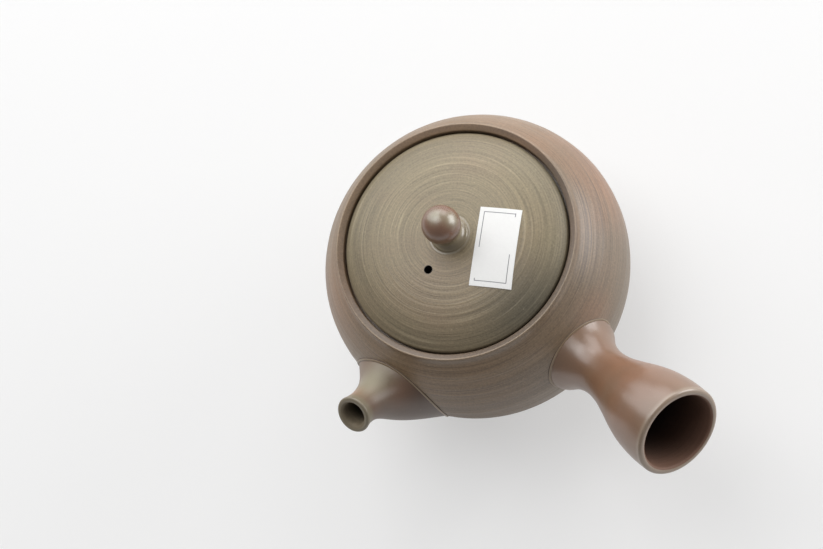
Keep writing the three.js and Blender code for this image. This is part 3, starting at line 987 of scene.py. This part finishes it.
def bore_clay(clay, name, lit_colour, end, out, depth):
    """Bare clay inside the handle or the spout, with painted shade that darkens it to a depth behind its
    open end.
    """
    shader = Shader(name)
    place, x, y, z = shader.coordinates()
    reach = past(end, out, x, y, z)
    # Painted shade deeper in the bore
    lit = shader.step(reach, -depth, 0)
    rings = shader.texture(shader.vector(reach * BORE_RINGS, 0, 0), "turning")
    light = (lit * 0.95 + 0.05) * (0.80 + rings * 0.4)
    colour = shader.scaled(shader.mix(lit, clay.seam, lit_colour), light)
    return clay_surface(shader, place, colour, rings * 0.1, rings, sandy=False)


def lid_clay(clay, lid):
    """Olive clay of the lid: fine turned rings, warm clouds, darker towards its edge, a patch of painted
    shade on its edge towards the handle, and painted shade in its vent hole.
    """
    shader = Shader("lid_clay")
    place, x, y, _ = shader.coordinates()
    radius = distance(x, y)
    broad, medium, fine = (
        shader.turning(place, radius, name) for name in ("lid, broad", "lid, medium", "lid, fine")
    )
    speckle = shader.texture(place, "lid speckle")
    warm = shader.texture(place, "lid clouds") * 0.4 + shader.spots(place, "lid, warm") * 0.5
    pale = shader.step(fine, *LID_LINES) * shader.texture(place, "lid patches")
    colour = shader.coated(
        clay.lid,
        (warm, clay.lid_warm),
        (shader.step(radius, LID_EDGE * lid.radius, lid.radius) * 0.4, clay.lid_edge),
        # Painted shade on the lid's edge towards the handle
        (shader.spots(place, "lid, painted shade") * 0.7, clay.lid_painted_shade),
        (pale * 0.25, SAND_COLOUR),
    )
    colour = shader.scaled(colour, broad * 0.15 + medium * 0.35 + fine * 0.85 + speckle * 0.65)
    vent = direction_of(lid.vent_angle, 0) * lid.vent_reach
    # Painted shade in and round the vent hole
    hole = shader.step(distance(x - vent.x, y - vent.y), *(lid.vent * edge for edge in VENT_SHADE))
    colour = shader.mix(hole, colour, clay.vent_shade)
    lines = fine * 0.9 + medium * 0.5 + speckle * 0.3
    return clay_surface(shader, place, colour, pale * 0.08, lines)


def inner_clay(clay):
    """Bare clay inside the pot, as it came off the wheel."""
    shader = Shader("inner_clay")
    place, _, _, z = shader.coordinates()
    rings = shader.turning(place, z, "inside")
    clouds = shader.texture(place, "inner clouds")
    colour = shader.scaled(shader.mix(clouds, clay.inside, clay.streak_and_shade), 0.85 + rings * 0.35)
    return clay_surface(shader, place, colour, clouds * 0.1, rings * 1.5)


def slip_clay(clay, name):
    """Slip of the joins: pale where it is worn, and dark with painted crease shade where it meets the clay
    on both sides.
    """
    shader = Shader(name)
    place = shader.coordinates()[0]
    across = Signal(shader, shader.node("ShaderNodeAttribute", {"attribute_name": ACROSS}).outputs["Fac"])
    # Painted crease shade where the bead meets the clay
    edge = shader.step(shader.math("ABSOLUTE", across), *SLIP_CREASE_SHADE)
    wear = shader.texture(place, "slip wear")
    colour = shader.coated(clay.belly, (wear, clay.belly_pale), (edge * 0.9, clay.seam))
    return clay_surface(shader, place, colour, edge * 0.2, shader.texture(place, "slip lines"))


def label_paper(clay, label):
    """White paper with a thin printed frame and nothing else on it."""
    shader = Shader("label_paper")
    place = shader.coordinates()[0]
    along = direction_of(label.turn, 0)
    across = Vector((-along.y, along.x, 0))
    corner = label_centre(label) - along * label.width / 2 - across * label.height / 2
    run, side, _ = shader.split(shader.moved(place, corner, label.turn))
    ink = sum(
        shader.between(run, *line[:2]) * shader.between(side, *line[2:]) for line in LABEL_LINES
    )
    fibres = shader.texture(place, "paper fibres")
    printed = shader.mix(shader.math("MINIMUM", ink, 1), clay.paper, clay.ink)
    return shader.surface(shader.scaled(printed, 0.96 + fibres * 0.06), fibres * 0.1, fibres)


def floor_material(backdrop, glow):
    """Plain pale board that gives off a little light."""
    shader = Shader("pale_floor")
    drift = shader.texture(shader.coordinates()[0], "floor drift")
    colour = shader.scaled(backdrop, 0.98 + drift * 0.04)
    return shader.surface(
        colour, drift * 0.1, drift, Emission_Color=(1, 1, 1, 1), Emission_Strength=glow
    )


# Pieces


def height_angle(height, middle, vertical):
    """Angle of an ellipse's point at a height, in degrees from the radius axis."""
    return math.degrees(math.asin((height - middle) / vertical))


def rippled(outline, depth):
    """The faint rings that fingers leave on a thrown wall, fading out at both ends."""
    result = []
    walked = 0
    last = len(outline) - 1
    for i, (radius, height) in enumerate(outline):
        if i:
            walked += (Vector(outline[i]) - Vector(outline[i - 1])).length
        wave = sum(share * math.sin(FULL_TURN * walked / pitch) for pitch, share in RIPPLES)
        fade = min(1, i / RIPPLE_FADE_ROWS, (last - i) / RIPPLE_FADE_ROWS)
        result.append((radius + depth * wave * fade, height))
    return result


def pot_outline(form):
    """From the middle of the foot, up the wall, over the rim and down the inside to the floor."""
    pot = form.pot
    waist = (0, pot.waist)
    rim_foot = pot.height - pot.collar
    heel_end = height_angle(pot.heel_height, pot.waist, form.drop)
    shoulder_end = height_angle(rim_foot, pot.waist, form.rise)
    belly = arc(waist, (pot.radius, form.drop), heel_end, 0, WALL_STEPS)
    shoulder = arc(waist, (pot.radius, form.rise), 0, shoulder_end, WALL_STEPS)
    heel = rounded((pot.foot, 0), (pot.foot + pot.heel, 0), belly[0], CORNER_STEPS)
    wall = rippled(belly + shoulder[1:-FILLET_ROWS], pot.ripple)
    fillet_end = (form.rim_outer, rim_foot + RIM_FILLET)
    fillet = rounded(shoulder[-FILLET_ROWS - 1], shoulder[-1], fillet_end, CORNER_STEPS)
    crest, lip = pot.crest, pot.lip
    top = 90 + math.degrees(pot.rim_slope)
    across, up = math.cos(math.radians(top)), math.sin(math.radians(top))
    rim = arc((form.rim_outer - crest, pot.height - crest), (crest, crest), 0, top, steps=10)
    slope_start = rim[-1]
    run = slope_start[0] - (form.mouth + lip + lip * across)
    lip_height = slope_start[1] - run * math.tan(pot.rim_slope) - lip * up
    rim += arc((form.mouth + lip, lip_height), (lip, lip), top, 180, CORNER_STEPS)
    ledge, throat, corner = form.ledge, form.throat, LEDGE_ROUND
    seat = rounded((throat + corner, ledge), (throat, ledge), (throat, ledge - corner), steps=4)
    under = ledge - pot.ledge_wall
    inner = (pot.radius - pot.wall, form.rise - pot.wall)
    lower = (pot.radius - pot.wall, form.drop - pot.wall)
    ceiling = height_angle(under - pot.undercut, pot.waist, inner[1])
    floor_end = height_angle(pot.floor + pot.corner / 2, pot.waist, lower[1])
    hollow = arc(waist, inner, ceiling, 0, steps=32) + arc(waist, lower, 0, floor_end, steps=40)[1:]
    floor_edge = lower[0] * math.cos(math.radians(height_angle(pot.floor, pot.waist, lower[1])))
    floor_start = (floor_edge - pot.corner, pot.floor)
    bottom = rounded(hollow[-1], (floor_edge, pot.floor), floor_start, CORNER_STEPS)
    foot = straight((0, 0), (pot.foot, 0), CORNER_STEPS)
    floor = straight(bottom[-1], (0, pot.floor), CORNER_STEPS)
    return [
        *foot[:-1], *heel, *wall[1:], *fillet[1:], *rim, (form.mouth, ledge), *seat,
        (throat, under), *hollow, *bottom[1:], *floor[1:],
    ]


class TEAPOT_OT_pot(Operator):
    """Models the thrown pot with its foot, belly, rim and ledge."""

    bl_idname = "teapot.pot"
    bl_label = "Pot"

    def execute(self, context):
        settings = context.scene.teapot
        form = Form(settings)
        pot = settings.pot
        bm = spun(pot_outline(form), pot.turn_steps)
        for face in bm.faces:
            middle = face.calc_center_median()
            inside = form.outside(middle, pot.wall / 2) < 0
            face.material_index = int(inside and middle.z < form.ledge - LEDGE_ROUND)
        materials = [belly_clay(settings.clay, form), inner_clay(settings.clay)]
        piece = finished("pot_wall", bm, "pot", materials, ["body"])
        hole = bmesh.new()
        lay = toward_spout(settings, pot.radius - pot.wall / 2)
        drill(hole, pot.pour_hole, depth=pot.wall * 4, steps=64, matrix=lay)
        cut(piece, hole)
        return {"FINISHED"}


def toward_spout(settings, reach):
    """Lays a shape made about Z along the spout's direction, with its foot at a distance from the axis."""
    swing = Matrix.Rotation(settings.spout.direction, 4, "Z")
    outward = Matrix.Translation((reach, 0, settings.pot.waist)) @ Matrix.Rotation(math.pi / 2, 4, "Y")
    return swing @ outward


def spout_tube(settings):
    spout, pot = settings.spout, settings.pot
    start = Vector((pot.radius - spout.root_depth, 0, spout.root_height))
    tip = Vector((spout.tip_reach, 0, spout.tip_height))
    handle = (tip - start).length * spout.bend
    leaving = direction_of(0, spout.root_slope) * handle
    arriving = direction_of(0, spout.tip_slope) * handle
    line = CentreLine(start, start + leaving, tip - arriving, tip)

    def outer(share):
        flare = (1 - share) ** spout.flare
        lip = max(0, (share - spout.lip_start) / (1 - spout.lip_start)) ** 2
        return spout.neck + (spout.root - spout.neck) * flare + (spout.tip - spout.neck) * lip

    def inner(share):
        return max(spout.bore, outer(share) - spout.wall)

    return Tube(Form(settings), line, outer, inner, spout.direction, spout.cut_slope - spout.tip_slope)


def handle_profile(handle):
    """Radius and reach of the handle's outline, on a smooth curve through its stations."""
    stations = []
    widest = handle.root
    for share, swell in zip(HANDLE_STATIONS, HANDLE_SWELL):
        if swell == 0:
            widest = handle.end
        stations.append(Vector((widest * swell + handle.waist * (1 - swell), share * handle.reach)))
    padded = [stations[0], *stations, stations[-1]]
    points = []
    for before, start, end, after in zip(padded, padded[1:], padded[2:], padded[3:]):
        leaving, arriving = (end - before) / 6, (after - start) / 6
        points += interpolate_bezier(start, start + leaving, end - arriving, end, SPAN_POINTS)[:-1]
    return [*points, stations[-1]]


def handle_tube(settings):
    handle, pot = settings.handle, settings.pot
    profile = handle_profile(handle)
    reaches = [point[1] for point in profile]
    out = direction_of(0, handle.slope)
    circle = Vector((pot.radius - handle.sink, 0, handle.root_height))
    start = circle - out * HANDLE_TENON
    end = circle + out * handle.reach
    line = CentreLine(start, start.lerp(end, 1 / 3), start.lerp(end, 2 / 3), end)

    def outer(share):
        reach = share * line.length - HANDLE_TENON
        if reach <= 0:
            return handle.root
        i = min(max(bisect.bisect_right(reaches, reach), 1), len(profile) - 1)
        low, high = profile[i - 1], profile[i]
        mix = (reach - low[1]) / max(high[1] - low[1], WELD)
        return low[0] + (high[0] - low[0]) * mix

    def inner(share):
        return outer(share) - handle.wall

    return Tube(Form(settings), line, outer, inner, 0)


class TEAPOT_OT_spout(Operator):
    """Models the bent spout and the slip that joins it to the pot."""

    bl_idname = "teapot.spout"
    bl_label = "Spout"

    def execute(self, context):
        settings = context.scene.teapot
        tube = spout_tube(settings)
        clay = settings.clay
        tip, out = (tube.swing @ vector for vector in tube.line.at(1))
        lip = (settings.spout.tip - settings.spout.bore) * ROUND_SHARE
        bm = tube.build(rows=72, sink=settings.joins.sink, lip_round=lip)
        bore = bore_clay(clay, "spout_bore", clay.khaki, tip, out, SPOUT_LIT)
        finished("spout_tube", bm, "pot", [spout_clay(clay, tip, out), bore], ["spout"])
        bead = tube.bead(settings.joins.spout_bead, settings.joins.spout_height, seed=3)
        finished("spout_slip", bead, "pot", [slip_clay(clay, "spout_slip")])
        return {"FINISHED"}


class TEAPOT_OT_handle(Operator):
    """Models the hollow side handle and the slip that joins it to the pot."""

    bl_idname = "teapot.handle"
    bl_label = "Handle"

    def execute(self, context):
        settings = context.scene.teapot
        tube = handle_tube(settings)
        clay = settings.clay
        end, out = tube.line.at(1)
        lip = settings.handle.wall * ROUND_SHARE
        bm = tube.build(rows=96, sink=settings.joins.sink, lip_round=lip)
        bore = bore_clay(clay, "handle_bore", clay.bore, end, out, HANDLE_LIT)
        finished("handle_tube", bm, "pot", [handle_clay(clay, end, out), bore], ["handle"])
        bead = tube.bead(settings.joins.handle_bead, settings.joins.handle_height, seed=8)
        finished("handle_slip", bead, "pot", [slip_clay(clay, "handle_slip")])
        return {"FINISHED"}


class TEAPOT_OT_strainer(Operator):
    """Models the pierced clay dome over the pour hole."""

    bl_idname = "teapot.strainer"
    bl_label = "Strainer"

    def execute(self, context):
        settings = context.scene.teapot
        strainer = settings.strainer
        ball = (strainer.radius ** 2 + strainer.bulge ** 2) / (2 * strainer.bulge)
        skirt = 90 - math.degrees(strainer.reach_angle)
        hollow = ball - strainer.wall
        outline = arc((0, 0), (hollow, hollow), 90, skirt, steps=32)
        outline += arc((0, 0), (ball, ball), skirt, 90, steps=32)
        lay = toward_spout(settings, settings.pot.radius - settings.pot.wall - strainer.bulge + ball)
        inward = lay @ Matrix.Rotation(math.pi, 4, "Y")
        bm = spun(outline, steps=96)
        bmesh.ops.transform(bm, verts=bm.verts[:], matrix=inward)
        piece = finished("strainer_dome", bm, "pot", [inner_clay(settings.clay)], ["strainer"])
        holes = bmesh.new()
        for ring in range(strainer.rings + 1):
            ring_holes = max(1, ring * strainer.ring_holes)
            for i in range(ring_holes):
                place = (
                    inward @ Matrix.Rotation(FULL_TURN * i / ring_holes, 4, "Z")
                    @ Matrix.Rotation(ring * strainer.pitch / ball, 4, "Y")
                    @ Matrix.Translation((0, 0, ball))
                )
                drill(holes, strainer.hole, depth=strainer.wall * 4, steps=20, matrix=place)
        cut(piece, holes)
        return {"FINISHED"}


def lid_outline(form, knob_seat):
    """The lid's underside from the axis out, its edge, and its combed top back to the axis."""
    lid = form.lid
    ring_inner = RING_HIGH.x - lid.ring_wall
    hollow = [ring_inner * i / UNDER_ROWS for i in range(UNDER_ROWS + 1)]
    under = [(radius, form.lid_top(radius) - lid.wall) for radius in hollow]
    bottom, edge = LID_LOW.z, form.lid_top(lid.radius)
    rim = lid.radius - lid.edge_round
    low = rounded((rim, bottom), (lid.radius, bottom), (lid.radius, bottom + lid.edge_round), steps=5)
    high = rounded(
        (lid.radius, form.lid_edge - lid.edge_round), (lid.radius, edge), (rim, form.lid_top(rim)), steps=5
    )
    top = []
    rows = int(rim / COMB_ROW)
    for i in range(rows - 1, 0, -1):
        radius = rim * i / rows
        wave = sum(share * noise.noise((radius / pitch, 0, share)) for pitch, share in COMB_WAVES)
        from_knob = (radius - knob_seat) / COMB_ROW
        fade = min(1, (rows - i) / COMB_FADE_ROWS, max(0, from_knob / COMB_FADE_ROWS))
        top.append((radius, form.lid_top(radius) + lid.comb * wave * fade))
    return [*under, (ring_inner, bottom), *low, *high, *top, (0, form.lid_top(0))]


class TEAPOT_OT_lid(Operator):
    """Models the combed lid with its vent hole."""

    bl_idname = "teapot.lid"
    bl_label = "Lid"

    def execute(self, context):
        settings = context.scene.teapot
        form = Form(settings)
        lid = settings.lid
        bm = spun(lid_outline(form, settings.knob.base), settings.pot.turn_steps)
        piece = finished("lid_disc", bm, "lid", [lid_clay(settings.clay, lid)], ["lid"])
        vent = bmesh.new()
        place = Matrix.Rotation(lid.vent_angle, 4, "Z") @ Matrix.Translation((lid.vent_reach, 0, LID_HIGH.z))
        drill(vent, lid.vent, depth=lid.wall * 6, steps=40, matrix=place)
        cut(piece, vent)
        return {"FINISHED"}


class TEAPOT_OT_lid_ring(Operator):
    """Models the ring under the lid that centres it in the mouth."""

    bl_idname = "teapot.lid_ring"
    bl_label = "Lid Ring"

    def execute(self, context):
        settings = context.scene.teapot
        lid = settings.lid
        outer, inner = RING_HIGH.x, RING_HIGH.x - lid.ring_wall
        edge = lid.ring_round
        top = LID_LOW.z - REST_GAP
        foot = arc((inner + edge, RING_LOW.z + edge), (edge, edge), 180, 270, steps=6)
        foot += arc((outer - edge, RING_LOW.z + edge), (edge, edge), 270, 360, steps=6)
        bm = spun([(inner, top), *foot, (outer, top)], settings.pot.turn_steps, closed=True)
        finished("lid_flange", bm, "lid_seat", [lid_clay(settings.clay, lid)], ["lid_ring"])
        return {"FINISHED"}


class TEAPOT_OT_knob(Operator):
    """Models the ball knob on its neck and turned base."""

    bl_idname = "teapot.knob"
    bl_label = "Knob"

    def execute(self, context):
        settings = context.scene.teapot
        knob = settings.knob
        form = Form(settings)
        middle = KNOB_HIGH.z - knob.radius
        neck_angle = math.degrees(math.acos(knob.neck / knob.radius))
        ball = arc((0, middle), (knob.radius, knob.radius), -neck_angle, 90, steps=56)
        seat = form.lid_top(knob.base) - KNOB_SINK
        shelf = LID_HIGH.z + knob.base_edge
        neck = ball[0][1]
        flare = arc((knob.base, neck), (knob.base - knob.neck, neck - shelf), 270, 180, steps=20)
        slip_edge, lid_skin = knob.base + knob.slip, seat + KNOB_SINK
        side_top = (knob.base, shelf - knob.groove)
        side = rounded((slip_edge, lid_skin), (knob.base, lid_skin), side_top, steps=6)
        base = [(0, seat), (slip_edge, seat), *side, (knob.base - knob.groove, shelf)]
        bm = spun([*base, *flare[2:], *ball[1:]], steps=128)
        finished("knob_ball", bm, "lid", [knob_clay(settings.clay, knob)], ["knob"])
        return {"FINISHED"}


def label_centre(label):
    return direction_of(label.direction, 0) * label.distance


class TEAPOT_OT_label(Operator):
    """Models the paper label that lies on the lid."""

    bl_idname = "teapot.label"
    bl_label = "Label"

    def execute(self, context):
        settings = context.scene.teapot
        form = Form(settings)
        label = settings.label
        bm = bmesh.new()
        bmesh.ops.create_grid(bm, x_segments=54, y_segments=28, size=0.5)
        place = (
            Matrix.Translation(label_centre(label)) @ Matrix.Rotation(label.turn, 4, "Z")
            @ Matrix.Diagonal((label.width, label.height, 1, 1))
        )
        bmesh.ops.transform(bm, verts=bm.verts[:], matrix=place)
        for vert in bm.verts:
            vert.co.z = form.lid_top(math.hypot(vert.co.x, vert.co.y)) + LABEL_LIFT
        raised = bmesh.ops.extrude_face_region(bm, geom=bm.faces[:])
        upper = [item for item in raised["geom"] if isinstance(item, bmesh.types.BMVert)]
        bmesh.ops.translate(bm, verts=upper, vec=UP * label.thickness)
        bmesh.ops.recalc_face_normals(bm, faces=bm.faces[:])
        finished("paper_label", bm, "lid", [label_paper(settings.clay, label)], ["label"])
        return {"FINISHED"}


# Stage


def softbox(name, power, aim):
    """A soft rectangular light that shines at the pot from its direction."""
    azimuth, elevation, distance, width, height = SOFTBOXES[name]
    light = bpy.data.lights.new(name, "AREA")
    light.shape = "RECTANGLE"
    light.size = width
    light.size_y = height
    light.energy = power
    lamp = placed(name, light)
    direction = direction_of(math.radians(azimuth), math.radians(elevation))
    lamp.location = aim + direction * distance
    lamp.rotation_euler = direction.to_track_quat("Z", "Y").to_euler()
    lamp.visible_camera = False


class TEAPOT_OT_stage(Operator):
    """Sets up the pale floor, the soft light and the camera."""

    bl_idname = "teapot.stage"
    bl_label = "Stage"

    def execute(self, context):
        stage = context.scene.teapot.stage
        bm = bmesh.new()
        bmesh.ops.create_circle(bm, cap_ends=True, segments=64, radius=FLOOR_RADIUS)
        bmesh.ops.translate(bm, verts=bm.verts[:], vec=UP * -FLOOR_GAP)
        mesh = mesh_of("floor", bm)
        mesh.materials.append(floor_material(stage.backdrop, stage.glow))
        floor = placed("floor", mesh)

        for name in SOFTBOXES:
            softbox(name, getattr(stage, name), UP * POT_HIGH.z / 2)

        world = bpy.data.worlds.new("pale_room")
        world.use_nodes = True
        background = world.node_tree.nodes["Background"]
        background.inputs["Color"].default_value = (*stage.sky, 1)
        background.inputs["Strength"].default_value = stage.fill
        context.scene.world = world
        context.scene.view_settings.view_transform = "Standard"

        lens = bpy.data.cameras.new("camera")
        lens.sensor_width = 36
        lens.lens = stage.lens
        lens.clip_start = 0.01
        lens.clip_end = 100
        camera = placed("camera", lens)
        direction = direction_of(stage.view_azimuth, stage.view_elevation)
        camera.location = Vector(stage.aim) + direction * stage.view_distance
        turn = direction.to_track_quat("Z", "Y") @ Quaternion((0, 0, 1), stage.view_roll)
        camera.rotation_euler = turn.to_euler()
        context.scene.camera = camera
        return {"FINISHED"}


class TEAPOT_PT_sidebar(Panel):
    """Lists the steps that build the teapot."""

    bl_idname = "TEAPOT_PT_sidebar"
    bl_label = "Side-handled Teapot"
    bl_space_type = "VIEW_3D"
    bl_region_type = "UI"
    bl_category = "Teapot"

    def draw(self, context):
        column = self.layout.column(align=True)
        for step in STEPS:
            column.operator(step.bl_idname)


STEPS = (
    TEAPOT_OT_pot, TEAPOT_OT_spout, TEAPOT_OT_handle, TEAPOT_OT_strainer, TEAPOT_OT_lid,
    TEAPOT_OT_lid_ring, TEAPOT_OT_knob, TEAPOT_OT_label, TEAPOT_OT_stage,
)

GROUPS = (
    PotSizes, LidSizes, KnobSizes, SpoutSizes, HandleSizes, StrainerSizes, JoinSizes, LabelSizes,
    ClayColours, StageSettings, TeapotSettings,
)

CLASSES = (*GROUPS, *STEPS, TEAPOT_PT_sidebar)


def register():
    for each in CLASSES:
        bpy.utils.register_class(each)
    bpy.types.Scene.teapot = PointerProperty(type=TeapotSettings)


def unregister():
    del bpy.types.Scene.teapot
    for each in reversed(CLASSES):
        bpy.utils.unregister_class(each)


def main():
    register()
    for step in STEPS:
        getattr(bpy.ops.teapot, step.bl_idname.split(".")[1])()


if __name__ == "__main__":
    main()
